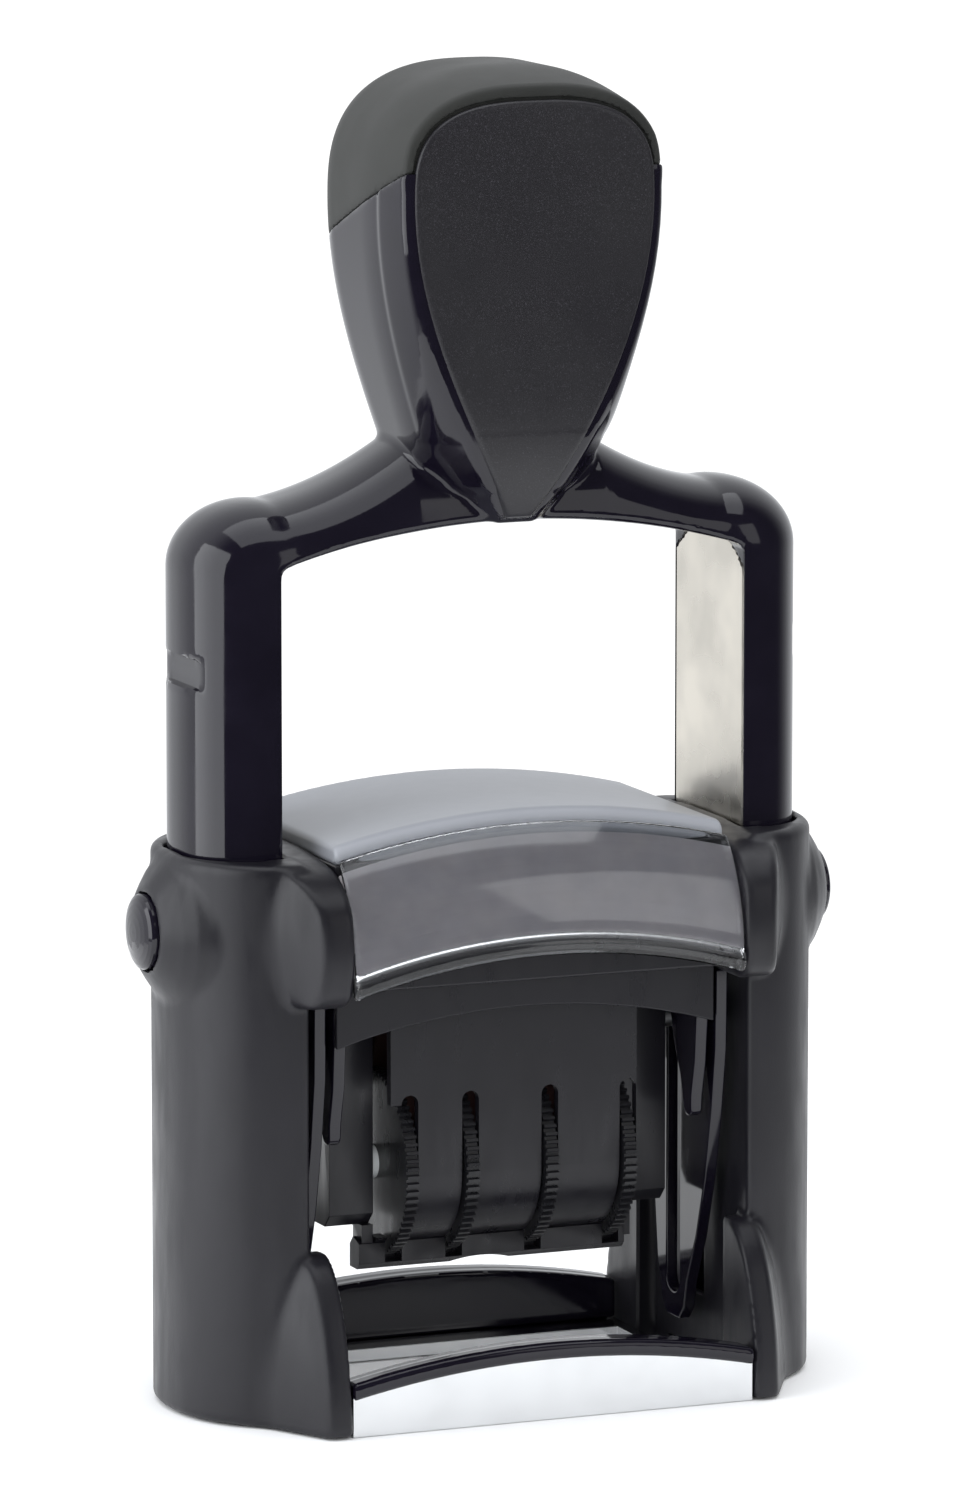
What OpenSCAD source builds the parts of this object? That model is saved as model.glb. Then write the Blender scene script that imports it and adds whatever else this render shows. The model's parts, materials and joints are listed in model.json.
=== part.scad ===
// Rotary self-inking date stamp.
// Millimetres. X is the width, -Y is the front, Z is up, the base plate stands on z = 0.

/* [Columns] */
// Half-width over the outer faces of the two columns
column_x = 39.9; // [39.8:0.1:40.4]
// Half-width between the flat inner faces of the columns
column_in = 27.5; // [27.4:0.1:27.7]
// Half-depth of a column
column_y = 15.2; // [15:0.1:16]
// Height of the column rims
column_h = 66.9; // [66:0.1:68]
// Height of the lock buttons' centres
button_z = 56.6; // [56:0.1:57]

/* [Handle] */
// Half-width between the inner faces of the legs
leg_in = 28.9; // [28.8:0.1:29]
// Half-width over the outer faces of the legs
leg_out = 38.3; // [38:0.1:38.4]
// Half-depth of a leg
leg_y = 10.2; // [9.8:0.1:10.3]
// Height of the corner where a leg meets the arch
arch_corner_z = 98.4; // [97:0.1:100]
// Rise of the arch's underside from its corners to the middle
arch_rise = 6.4; // [5:0.1:7]
// Overall height with the handle up
total_h = 155.8; // [155:0.1:157]
// Largest half-width of the head
head_x = 17.1; // [16:0.1:18]

/* [Travel] */
// Downward travel of the handle
stroke = 32; // [31.5:0.1:32]
// Height of the flip pins with the handle up
flip_z = 42.5; // [42.5:0.1:42.6]
// Distance from the flip axis to the printing face
die_reach = 10.2; // [10:0.1:10.3]

/* [Printing] */
// Width of the text die
die_w = 41; // [38:0.5:41]
// Depth of the text die
die_d = 24; // [22:0.5:24]
// Radius of a thumbwheel over its teeth
wheel_r = 11; // [10.8:0.1:11]
// Height of the wheel axle with the handle up
wheel_z = 27.4; // [27.4:0.1:27.6]
// Teeth on a thumbwheel
wheel_teeth = 72; // [48:4:90]

/* [Base] */
// Thickness of the base plate
plate_t = 1.5; // [1.2:0.1:1.6]
// Half-depth over the front and rear flanges
flange_y = 22; // [21.9:0.1:22.2]

/* [Hidden] */
$fn = 64;

black = [0.11, 0.11, 0.12];
gloss_black = [0.06, 0.06, 0.07];
grey = [0.62, 0.62, 0.64];

fit_gap = 0.3;                       // clearance between sliding bodies
foot_x = 25.3;                       // inner face of the foot lobes
plate_x = 25.1;                      // half-width of the base plate between the lobes
window_x = 23.5;                     // half-width of the imprint window
window_y = 14.2;                     // half-depth of the imprint window
tab_x = 36;                          // reach of the plate's fixing tabs
tab_y = 8;                           // half-depth of the tabs
floor_z = 4;                         // top of the column floor
screw_x = 33.2;                      // base screws and return springs
screw_y = 5.6;
flange_t = 1.2;                      // flange thickness
flange_end_z = 5;                    // flange height at its ends
flange_mid_z = 7.8;                  // flange height in the middle
sill_t = 1.2;                        // sill height above the flange
sill_in_y = 18.5;                    // inner face of the sills
cheek_x = 24.4;                      // inner face of the cheeks
cheek_z = 49.5;                      // underside of the cheeks
cheek_y = 21.6;                      // half-depth of the cheeks
cheek_top = 67.3;                    // top of the cheeks
leg_bottom = 37;                     // lower end of the legs, handle up
spring_top = 78;                     // top of the spring pocket in a leg
spring_r = 2.7;                      // mean radius of a return spring
spring_wire = 0.9;
spring_turns = 20;
slot_hw = 1.9;                       // half-width of the guide slots
pin_r = 1.8;                         // flip pin radius
bracket_t = 1;                       // thickness of the steel bracket
bar_z = 104.9;                       // underside of the bracket's cross bar
bar_y = 6.6;                         // half-width of the cross bar
neck_h = 16;                         // height of the arch at the neck
neck_z = arch_corner_z + neck_h;     // seat of the head on the arch
button_r = 4.4;                      // lock button radius
button_in = 40.8;                    // inner end of a lock button
button_tip = 43.6;                   // crown of a lock button
pocket_x = 38.6;                     // outer face of the leg pocket in a column
button_floor = 39.3;                 // floor of the button's bore
bridge_end_z = 67.5;                 // top cover height at its ends
bridge_mid_z = 70.6;                 // top cover height in the middle
bridge_y = 16;                       // half-depth of the bridge
cover_front_y = -15;                 // front edge of the top cover, behind the window
window_y_c = -2.3;                   // centre and radius of the window's side arc
window_z = 56.2;
window_r = 19;
cassette_x = 22.6;                   // half-width of the pad cassette
pad_z = 53.2;                        // inking face of the pad
rail_z = 50.6;                       // underside of the cassette rails
carriage_x = 21.3;                   // half-width of the carriage
block_in = 15.8;                     // inner face of the carriage's side blocks
block_y = 5;                         // half-depth of the side blocks
block_z = 20.8;                      // underside of the side blocks
die_z = flip_z + die_reach;          // printing face, handle up
die_base = die_z - 1.8;              // back of the text die
frame_top = die_base - 1;            // top of the carriage frame
drum_r = 6.2;                        // band drum radius
band_in_r = 6.5;                     // inner radius of a band over its drum
band_t = 1;                          // band thickness
band_top_r = 1.6;                    // inner radius of a band over the nose
char_h = 0.6;                        // height of the raised characters' pads
nose_z = die_z - band_top_r - band_t - char_h;
axle_r = 2;                          // wheel axle radius
disc_t = 1.5;                        // thickness of a thumbwheel
cover_r = 9.8;                       // outer radius of the carriage cover round the wheels
cover_t = 1.2;
cover_x = 15.5;                      // half-width of the carriage cover
// Plane of each thumbwheel, and the left and right edges of the band beside it
wheel_planes = [-13.1, -5.5, 4.5, 14.4];
band_edges = [[-12, -9.5], [-9, -6.6], [-4.4, 3.4], [5.6, 13.3]];

// ---------- helpers ----------

module both_x() {
  children();
  mirror([1, 0, 0]) children();
}

module both_y() {
  children();
  mirror([0, 1, 0]) children();
}

// Extrudes a profile drawn in (y, z) along X from x0 to x1.
module along_x(x0, x1) {
  translate([x0, 0, 0]) rotate([90, 0, 90]) linear_extrude(x1 - x0) children();
}

// Extrudes a profile drawn in (x, z) along Y from y0 to y1.
module along_y(y0, y1) {
  translate([0, y1, 0]) rotate([90, 0, 0]) linear_extrude(y1 - y0) children();
}

// Rod along X.
module rod_x(r, x0, x1, y, z) {
  translate([x0, y, z]) rotate([0, 90, 0]) cylinder(r = r, h = x1 - x0);
}

// Radius of the arc with the given half-chord and rise.
function arc_r(half, rise) = (half * half + rise * rise) / (2 * rise);

// Everything under an arch that spans x = -half..half, from y0 to y1.
module under_arch(half, z_end, z_mid, y0, y1) {
  r = arc_r(half, z_mid - z_end);
  translate([0, y1, z_mid - r]) rotate([90, 0, 0]) cylinder(r = r, h = y1 - y0, $fn = 256);
}

// Quarter superellipse: p is the power, t runs 0..90 degrees.
function squircle(a, b, p, t) =
  [a * sign(cos(t)) * pow(abs(cos(t)), 2 / p), b * sign(sin(t)) * pow(abs(sin(t)), 2 / p)];

// D outline: flat side at x = x_in, bulging to x = x_out, half-depth y.
function d_outline(x_in, x_out, y, p) =
  [for (t = [-90 : 7.5 : 90]) [x_in, 0] + squircle(x_out - x_in, y, p, t)];

// Triangulated skin through rings of equal length, closed by a fan at each end.
module loft(rings) {
  n = len(rings[0]);
  m = len(rings);
  points = [for (ring = rings) each ring];
  sides = [for (i = [0 : m - 2], j = [0 : n - 1]) each [
    [i * n + j, (i + 1) * n + j, i * n + (j + 1) % n],
    [i * n + (j + 1) % n, (i + 1) * n + j, (i + 1) * n + (j + 1) % n]
  ]];
  low = [for (j = [1 : n - 2]) [0, j, j + 1]];
  high = [for (j = [1 : n - 2]) [(m - 1) * n, (m - 1) * n + j + 1, (m - 1) * n + j]];
  polyhedron(points, concat(low, sides, high));
}

// ---------- frame ----------

module flange() {
  intersection() {
    translate([-plate_x, -flange_y, 0]) cube([2 * plate_x, flange_t, flange_mid_z + 1]);
    under_arch(plate_x, flange_end_z, flange_mid_z, -flange_y - 1, 0);
  }
}

module base_plate() {
  color("silver") difference() {
    union() {
      translate([-plate_x, -flange_y + 0.2, 0])
        cube([2 * plate_x, 2 * flange_y - 0.4, plate_t]);
      translate([-tab_x, -tab_y, 0]) cube([2 * tab_x, 2 * tab_y, plate_t]);
      both_y() flange();
    }
    translate([-window_x, -window_y, -1]) cube([2 * window_x, 2 * window_y, plate_t + 2]);
    both_x() both_y() translate([screw_x, screw_y, -1]) {
      cylinder(r = 1.3, h = plate_t + 2);
      cylinder(r = 2.3, h = 2);
    }
  }
}

module sill() {
  color(gloss_black) difference() {
    intersection() {
      translate([-plate_x, -flange_y - 0.3, plate_t])
        cube([2 * plate_x, flange_y + 0.3 - sill_in_y, flange_mid_z + 2]);
      under_arch(plate_x, flange_end_z + sill_t, flange_mid_z + sill_t, -flange_y - 1, 0);
    }
    intersection() {
      translate([-plate_x - 1, -flange_y - 1, -1])
        cube([2 * plate_x + 2, flange_t + 1.05, flange_mid_z + 2]);
      under_arch(plate_x, flange_end_z, flange_mid_z, -flange_y - 2, 0);
    }
  }
}

module front_sill() { sill(); }

module rear_sill() { mirror([0, 1, 0]) sill(); }

// Flared boss round a lock button, turned about the button's axis.
module button_boss() {
  translate([0, 0, button_z]) rotate([0, 90, 0])
    rotate_extrude($fn = 96)
      polygon([[0, 35], [12.6, 35], [10.8, 36.8], [9, 38.4], [7.2, 40], [6, 41.1], [5, 42.3], [0, 42.3]]);
}

// Side profile shared by the cheek slab and its rounded lobes: a tall shape with round corners.
module cheek_profile(inset) {
  half = cheek_y - inset;
  r = 3.2;
  low = cheek_z + inset;
  top = cheek_top - 0.2 * inset;
  polygon(concat(
    [for (t = [180 : 15 : 270]) [-half + r + r * cos(t), low + r + r * sin(t)]],
    [for (t = [270 : 15 : 360]) [half - r + r * cos(t), low + r + r * sin(t)]],
    [[half, low + 11], [half - 3.6, top - 1.2], [half - 6, top], [6 - half, top], [3.6 - half, top - 1.2],
     [-half, low + 11]]
  ));
}

// Front lobe of a cheek: bulges out of the column beside the window.
module cheek_lobe() {
  hull() {
    along_x(cheek_x, cheek_x + 2.4) intersection() {
      cheek_profile(0);
      translate([-30, 0]) square([16, 90]);
    }
    along_x(cheek_x + 4, cheek_x + 4.4) intersection() {
      cheek_profile(2.4);
      translate([-30, 0]) square([16, 90]);
    }
    translate([31.6, -13.6, 52]) cylinder(r = 0.4, h = 12, $fn = 16);
  }
}

// Front foot lobe: fin with a ridge, widest at the floor.
module foot_lobe() {
  hull() {
    along_x(foot_x, foot_x + 0.4) polygon([
      [-14, 0], [-22, 0], [-22.4, 1.2], [-22, 6], [-20.8, 11.5], [-19, 15.6], [-16.9, 19], [-14, 19.4]]);
    along_x(27.4, 27.8) polygon([
      [-14, 0], [-22.4, 0], [-22.9, 1.2], [-22.4, 5.8], [-21, 11.2], [-19, 15.4], [-16.6, 19.4], [-14, 19.5]]);
    translate([0, 0, 0]) along_x(31.4, 31.6) polygon([
      [-13.4, 0], [-17.8, 0], [-18.4, 1.2], [-17.6, 5], [-15.4, 10], [-13.4, 13]]);
    translate([33.4, -13, 0]) cylinder(r = 0.3, h = 4, $fn = 16);
  }
}

// Right column; the left one is its mirror image.
module column() {
  color(black) difference() {
    union() {
      linear_extrude(column_h) polygon(d_outline(column_in, column_x, column_y, 2.15));
      intersection() {
        button_boss();
        translate([34, -13, button_z - 9]) cube([10, 26, 18]);
      }
      along_x(cheek_x, leg_in - 0.4) cheek_profile(0);
      both_y() cheek_lobe();
      both_y() foot_lobe();
    }
    // leg pocket
    translate([0, 0, floor_z]) linear_extrude(column_h)
      polygon(d_outline(leg_in - fit_gap, pocket_x, leg_y + fit_gap, 2.6));
    // slot for the flip pin through the inner wall
    along_x(cheek_x - 1, leg_in + 1)
      translate([-slot_hw - 0.3, flip_z - stroke - slot_hw - 0.3])
        square([2 * slot_hw + 0.6, stroke + 2 * slot_hw + 0.6]);
    // recess for the plate's tab
    translate([0, -tab_y - 0.1, -1]) cube([tab_x + 0.1, 2 * tab_y + 0.2, plate_t + 1]);
    both_y() translate([screw_x, screw_y, 0]) cylinder(r = 1.1, h = 3.4);
    // button bore
    rod_x(button_r + 0.1, button_floor, 50, 0, button_z);
  }
}

module right_column() { column(); }

module left_column() { mirror([1, 0, 0]) column(); }

// Tongue with the guide slot, standing just inside a column.
module guide_plate() {
  color(gloss_black) difference() {
    along_x(24.5, 26) polygon([
      [-12.4, cheek_z], [-12.2, 40], [-11, 32], [-9.2, 24], [-6.8, 16.5], [-4, 10.6], [-3.2, 7.2], [-1.8, 5.6],
      [1.8, 5.6], [3.2, 7.2], [4.6, 12], [5.6, 20], [6.4, 30], [6.8, 40], [7, cheek_z]]);
    rod_x(slot_hw, 24, 27, 0, flip_z);
    rod_x(slot_hw, 24, 27, 0, flip_z - stroke);
    translate([24, -slot_hw, flip_z - stroke]) cube([3, 2 * slot_hw, stroke]);
  }
}

module right_guide_plate() { guide_plate(); }

module left_guide_plate() { mirror([1, 0, 0]) guide_plate(); }

// Wedge-shaped plate that hangs from the bridge beside the carriage.
module ear() {
  color(gloss_black) along_x(22, 23.6) polygon(concat(
    [[-12.4, rail_z], [-12.4, 44], [-11.9, 38.6], [-10.9, 34.4]],
    [for (t = [190 : 20 : 350]) [-9.6 + 1.2 * cos(t), 33 + 1.2 * sin(t)]],
    [[-7.4, 36.4], [-5.4, 40.4], [-4.2, 44.6], [-3.8, rail_z]]
  ));
}

module right_ear() { ear(); }

module left_ear() { mirror([1, 0, 0]) ear(); }

// Cross piece: two side walls with rails for the cassette, joined by a roof.
module bridge_frame() {
  color(black) difference() {
    union() {
      translate([-cheek_x, 0.3 - bridge_y, rail_z]) cube([2 * cheek_x, 31.1, 14]);
      translate([-cheek_x, cover_front_y, 63.6]) cube([2 * cheek_x, bridge_y - cover_front_y, 1.9]);
    }
    // step that clears the card and the window's upper edge
    translate([-cheek_x - 1, -bridge_y, 62.6]) cube([2 * cheek_x + 2, bridge_y + cover_front_y, 5]);
    // cassette bay, open at the back
    translate([-cassette_x - fit_gap, -14.2 - fit_gap, pad_z + 0.1])
      cube([2 * (cassette_x + fit_gap), 40, 62.6 - pad_z]);
    // opening for the text die
    translate([-21.7, -14.2 - fit_gap, 49]) cube([43.4, 40, 6]);
  }
}

module front_skirt() {
  color(black) difference() {
    translate([-23.7, -13.6, 40]) cube([47.4, 1.1, rail_z - 40]);
    under_arch(23.7, 43.7, 47.2, -20, 0);
  }
}

module top_cover() {
  color(grey) difference() {
    intersection() {
      translate([-cheek_x + 0.05, cover_front_y, 65.5])
        cube([2 * cheek_x - 0.1, bridge_y - cover_front_y, 10]);
      under_arch(cheek_x, bridge_end_z, bridge_mid_z, -20, 20);
    }
    intersection() {
      translate([-22, cover_front_y + 1.4, 60]) cube([44, bridge_y - cover_front_y - 2.8, 20]);
      under_arch(cheek_x, bridge_end_z - 1.6, bridge_mid_z - 1.6, -20, 20);
    }
  }
}

// Turns a (radius, -y) profile about the bridge's own arch axis, so that it follows the arch.
module arch_sweep() {
  intersection() {
    translate([0, 0, bridge_mid_z - arc_r(cheek_x, bridge_mid_z - bridge_end_z)])
      rotate([90, 0, 0]) rotate([0, 0, 70]) rotate_extrude(angle = 40, $fn = 180) children();
    translate([-cheek_x + 0.1, -30, 40]) cube([2 * cheek_x - 0.2, 30, 40]);
  }
}

// Curved strip of thickness t between two angles of the window's side arc.
module window_strip(r, t, a0, a1) {
  z0 = bridge_mid_z - arc_r(cheek_x, bridge_mid_z - bridge_end_z);
  function at(radius, a) = [window_z + radius * sin(a) - z0, -(window_y_c + radius * cos(a))];
  steps = [for (i = [0 : 10]) a0 + (a1 - a0) * i / 10];
  polygon(concat([for (a = steps) at(r, a)], [for (i = [10 : -1 : 0]) at(r - t, steps[i])]));
}

module front_window() {
  color([0.8, 0.85, 0.9, 0.4]) arch_sweep() window_strip(window_r, 1.1, 136.3, 185.4);
}

module index_card() {
  color(grey) arch_sweep() window_strip(window_r - 1.2, 0.5, 140, 178);
}

module base_screws() {
  color("silver") both_x() both_y() translate([screw_x, screw_y, 0]) difference() {
    union() {
      translate([0, 0, 0.1]) cylinder(r = 2.2, h = 0.8);
      translate([0, 0, 0.9]) cylinder(r = 1.05, h = 2.4);
    }
    translate([-1.5, -0.25, 0]) cube([3, 0.5, 0.5]);
    translate([-0.25, -1.5, 0]) cube([0.5, 3, 0.5]);
  }
}

// Coil spring standing on the column floor and reaching into the leg.
module return_spring() {
  steps = 10 * spring_turns;
  low = floor_z + spring_wire / 2 + 0.05;
  high = spring_top - spring_wire / 2 - 0.05;
  color("silver") translate([screw_x, 0, 0]) loft([for (i = [0 : steps])
    let (a = 36 * i, z = low + (high - low) * i / steps)
    [for (t = [0 : 60 : 300])
      let (r = spring_r + spring_wire / 2 * cos(t))
      [r * cos(a), r * sin(a), z + spring_wire / 2 * sin(t)]]
  ]);
}

module right_return_spring() { return_spring(); }

module left_return_spring() { mirror([1, 0, 0]) return_spring(); }

// ---------- pad cassette ----------

module pad_cassette() {
  color(gloss_black) {
    difference() {
      translate([-cassette_x, -14.2, pad_z + 0.5]) cube([2 * cassette_x, 32.2, 8.4]);
      translate([-21.6, -12.6, pad_z - 1]) cube([43.2, 25.2, 6.5]);
    }
    // rear wall with a scooped finger grip
    difference() {
      translate([-cheek_x + 0.6, 17.2, 49.8]) cube([2 * cheek_x - 1.2, 3.2, 15]);
      rod_x(3.6, -11, 11, 22.6, 57.4);
      under_arch(cheek_x, 48, 51.8, 10, 30);
    }
  }
}

module ink_pad() {
  color([0.16, 0.15, 0.2]) translate([-21.5, -12.5, pad_z]) cube([43, 25, 5.4]);
}

// ---------- handle ----------

module leg_outline() { polygon(d_outline(leg_in, leg_out, leg_y, 2.6)); }

// Elbow where a leg turns into the arch: the leg's outline swung about the inner corner.
module elbow() {
  translate([leg_in, 0, arch_corner_z]) rotate([90, 0, 0])
    rotate_extrude(angle = 90, $fn = 96)
      polygon([for (p = d_outline(leg_in, leg_out, leg_y, 2.6)) if (p[0] >= leg_in) [p[0] - leg_in, p[1]]]);
}

// One cross-section of an arm, standing at x, from z up to z + h.
module arm_section(x, z, h) {
  along_x(x, x + 0.2) polygon([for (p = d_outline(0, h, leg_y, 2.6)) [p[1], z + p[0]]]);
}

module handle_arch() {
  color(gloss_black) difference() {
    union() {
      both_x() {
        translate([0, 0, leg_bottom]) linear_extrude(arch_corner_z - leg_bottom) leg_outline();
        elbow();
        hull() {
          arm_section(leg_in - 0.2, arch_corner_z, leg_out - leg_in);
          arm_section(11, arch_corner_z, neck_h);
        }
      }
      hull() {
        both_x() arm_section(11, arch_corner_z, neck_h);
      }
    }
    // underside of the arch
    along_y(-20, 20) polygon([for (t = [0 : 6 : 180])
      [leg_in * cos(t), arch_corner_z + arch_rise * pow(sin(t), 0.9) - 0.001]]);
    // channel for the steel bracket
    both_x() translate([leg_in - 1, -9.85, leg_bottom - 1])
      cube([1 + bracket_t, 19.7, arch_corner_z - leg_bottom + 1]);
    both_x() translate([leg_in - 1, -bar_y - 0.05, leg_bottom])
      cube([1 + bracket_t, 2 * bar_y + 0.1, bar_z + bracket_t - leg_bottom]);
    translate([-leg_in, -bar_y - 0.05, bar_z]) cube([2 * leg_in, 2 * bar_y + 0.1, bracket_t]);
    // spring pockets
    both_x() translate([screw_x, 0, leg_bottom - 1])
      cylinder(r = spring_r + spring_wire / 2 + 0.25, h = spring_top - leg_bottom + 1.05);
    // lock notches on the outer faces
    both_x() translate([leg_out - 1.4, -6, 85.2]) cube([3, 12, 3.4]);
    // neck screws
    both_x() translate([7, 0, arch_corner_z]) cylinder(r = 1.4, h = 30);
    both_x() translate([7, 0, arch_corner_z]) cylinder(r = 2.4, h = bar_z - arch_corner_z);
  }
}

// Half-width of the head at height z.
function head_w(z) = z < 140
  ? 12.3 + (head_x - 12.3) * sin(90 * max(0, z - 112) / 28)
  : head_x * pow(max(0, 1 - pow((z - 140) / (total_h - 140), 2.6)), 1 / 2.6);
// Front and rear faces of the head at height z.
function badge_y(z) = -17 + 5.8 * exp((104 - z) / 7);
function head_front(z) = z < 140
  ? badge_y(z) + 1.05
  : -15.95 * pow(max(0, 1 - pow((z - 140) / (total_h - 140), 3.4)), 1 / 3.4);
function head_rear(z) = z < 140
  ? 8.2 + 3.8 * sin(90 * max(0, z - 112) / 28)
  : 12 * pow(max(0, 1 - pow((z - 140) / (total_h - 140), 2.4)), 1 / 2.4);

// Cross-section of the head: flat in front with tight corners, round behind.
function head_ring(z, inset) = [for (a = [0 : 10 : 350])
  let (w = max(0.2, head_w(z) - inset), front = a > 180,
       d = max(0.2, (front ? -head_front(z) : head_rear(z)) - inset), p = front ? 4.4 : 2.7)
  [squircle(w, d, p, a)[0], squircle(w, d, p, a)[1], z]];

// Heights of the rings: even in the neck, closing up towards the crown.
function head_levels(low, high) = concat(
  [for (z = [low : 4 : 138]) z],
  [for (t = [0 : 10 : 80]) 140 + (high - 140) * sin(t)],
  [high - 0.02]);

module head_solid() {
  loft([for (z = head_levels(neck_z, total_h)) head_ring(z, 0)]);
}

module head_hollow() {
  loft([for (z = head_levels(neck_z + 2, total_h - 2)) head_ring(z == total_h - 2.02 ? total_h - 2.4 : z, 1.9)]);
}

// Everything above the seam, which falls from the front edge to the back.
module above_seam() {
  along_x(-30, 30) polygon([[-30, 150.4], [30, 126.4], [30, 170], [-30, 170]]);
}

module head_shell() {
  color(gloss_black) difference() {
    head_solid();
    above_seam();
    head_hollow();
    both_x() translate([7, 0, neck_z - 1]) cylinder(r = 1.3, h = 4);
  }
}

module head_cap() {
  color([0.17, 0.18, 0.18]) difference() {
    intersection() {
      head_solid();
      above_seam();
    }
    head_hollow();
  }
}

// Half-width of the badge at height z: a drop with its tip down.
badge_tip_z = 103.8;
badge_wide_z = 141.5;
badge_top_z = 152.6;
badge_w = 15.45;
function drop_low(t) = [1.6 + (badge_w - 1.6) * sin(t), badge_tip_z + (badge_wide_z - badge_tip_z) * t / 90];
function drop_high(t) = [0, badge_wide_z] + squircle(badge_w, badge_top_z - badge_wide_z, 2.8, t);
function badge_side() = concat([for (t = [0 : 6 : 84]) drop_low(t)], [for (t = [0 : 7.5 : 90]) drop_high(t)]);

// Badge: a curved plate on the head's front, deeper at its tip where it meets the arch.
module front_badge() {
  side = badge_side();
  color([0.2, 0.2, 0.21]) intersection() {
    along_y(-25, 0)
      polygon(concat(side, [for (i = [len(side) - 2 : -1 : 0]) [-side[i][0], side[i][1]]]));
    along_x(-20, 20) polygon(concat(
      [for (z = [102 : 3 : 153]) [badge_y(z), z]],
      [for (z = [153 : -3 : 115]) [badge_y(z) + 1, z]],
      [[badge_y(neck_z) + 1, neck_z - 0.05], [-leg_y - 0.05, neck_z - 0.05], [-leg_y - 0.05, 102]]));
  }
}

module steel_bracket() {
  color([0.72, 0.69, 0.64]) difference() {
    union() {
      both_x() translate([leg_in, -9.8, leg_bottom + 0.5])
        cube([bracket_t, 19.6, arch_corner_z - leg_bottom - 0.5]);
      both_x() translate([leg_in, -bar_y, leg_bottom + 0.5])
        cube([bracket_t, 2 * bar_y, bar_z + bracket_t - leg_bottom - 0.5]);
      translate([-leg_in - bracket_t, -bar_y, bar_z])
        cube([2 * (leg_in + bracket_t), 2 * bar_y, bracket_t]);
    }
    both_x() rod_x(pin_r + 0.05, leg_in - 1, leg_in + 2, 0, flip_z);
    both_x() translate([7, 0, 100]) cylinder(r = 2.15, h = 10);
  }
}

module neck_screws() {
  color("silver") both_x() translate([7, 0, 0]) {
    translate([0, 0, bar_z]) cylinder(r = 2.1, h = bracket_t);
    translate([0, 0, bar_z + bracket_t]) cylinder(r = 1.3, h = neck_z + 1.8 - bar_z - bracket_t);
  }
}

// ---------- carriage ----------

module carriage_frame() {
  color(black) difference() {
    union() {
      both_x() along_x(block_in, carriage_x) polygon([
        [-block_y, block_z + 1.5], [-block_y + 1.5, block_z], [block_y - 1.5, block_z],
        [block_y, block_z + 1.5], [block_y, frame_top - 2], [-block_y, frame_top - 2]]);
      translate([-carriage_x, -10, frame_top - 2.4]) cube([2 * carriage_x, 20, 2.4]);
      // rear rib that joins the blocks
      translate([-carriage_x, 8.2, frame_top - 15]) cube([2 * carriage_x, 1.6, 14]);
    }
    translate([-13, -3.2, 40]) cube([27.2, 6.4, 20]);
    both_x() rod_x(pin_r, 18, carriage_x + 1, 0, flip_z);
    both_x() rod_x(axle_r, block_in - 1, 19.5, 0, wheel_z);
  }
}

// Curved shroud over the wheels, with a finger slot for each and a rail below.
module carriage_cover() {
  a_low = 252;
  outer = concat([[-cover_r, frame_top - 2.4]], [for (t = [180 : 6 : a_low]) [cover_r * cos(t), wheel_z + cover_r * sin(t)]]);
  inner = concat([for (t = [a_low : -6 : 180])
    [(cover_r - cover_t) * cos(t), wheel_z + (cover_r - cover_t) * sin(t)]],
    [[-cover_r + cover_t, frame_top - 2.4]]);
  color(black) difference() {
    union() {
      along_x(-cover_x, cover_x) polygon(concat(outer, inner));
      along_x(-17.4, 16.2) polygon([
        [-4.6, 18.6], [-4.6, 16.2], [-3.9, 15.5], [-1.6, 15.5], [-1.6, 18.2], [-2.6, 19.2]]);
      both_x() along_x(block_in - 0.2, block_in + 1.2) polygon([
        [-4.4, 17], [-1.6, 17], [-1.6, block_z], [-4.4, block_z]]);
    }
    for (x = wheel_planes) {
      translate([x - 1.05, -12, 16.25]) cube([2.1, 12, 19.6]);
      translate([x, -12, 35.85]) rotate([-90, 0, 0]) cylinder(r = 1.05, h = 12);
    }
    // the first slot is open towards the left edge
    translate([-cover_x - 0.1, -12, 19.4]) cube([cover_x + 0.1 + wheel_planes[0], 12, 16.4]);
    // shallow scallop under the rail
    translate([-2, 0, 15.5 - 11.4]) rotate([90, 0, 0]) cylinder(r = 12, h = 6);
  }
}

module flip_pins() {
  color("silver") both_x() rod_x(pin_r, 18, leg_in + bracket_t - 0.2, 0, flip_z);
}

module wheel_axle() {
  color("white") rod_x(axle_r, -19.5, 19.5, 0, wheel_z);
}

// Rounded rectangle outline of the die, with the window for the date bands.
module die_outline(margin, window_margin) {
  difference() {
    offset(r = 1.5) square([die_w - 2 * margin - 3, die_d - 2 * margin - 3], center = true);
    translate([0.7, 0]) square([27 + 2 * window_margin, 6.6 + 2 * window_margin], center = true);
  }
}

module die_plate() {
  color([0.75, 0.75, 0.76]) translate([0, 0, frame_top]) linear_extrude(0.98) die_outline(0, 0);
}

module text_die() {
  color([0.45, 0.14, 0.12]) {
    translate([0, 0, die_base]) linear_extrude(1) die_outline(0, 0.2);
    translate([0, 0, die_base + 1]) linear_extrude(0.8) {
      difference() {
        die_outline(0.4, 1.4);
        square([die_w - 2.8, die_d - 2.8], center = true);
      }
      for (y = [-8.4, -6, 6, 8.4]) translate([0, y]) square([die_w - 9, 0.9], center = true);
    }
  }
}

// Block that carries the bands at the printing face.
module band_nose() {
  color(black) {
    rod_x(band_top_r - 0.3, -13, 14.2, 0, nose_z);
    difference() {
      translate([-13, -1.1, nose_z - 6]) cube([27.2, 2.2, 6]);
      translate([-20, -3, nose_z - 20]) cube([40, 6, 12]);
    }
  }
}

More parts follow.
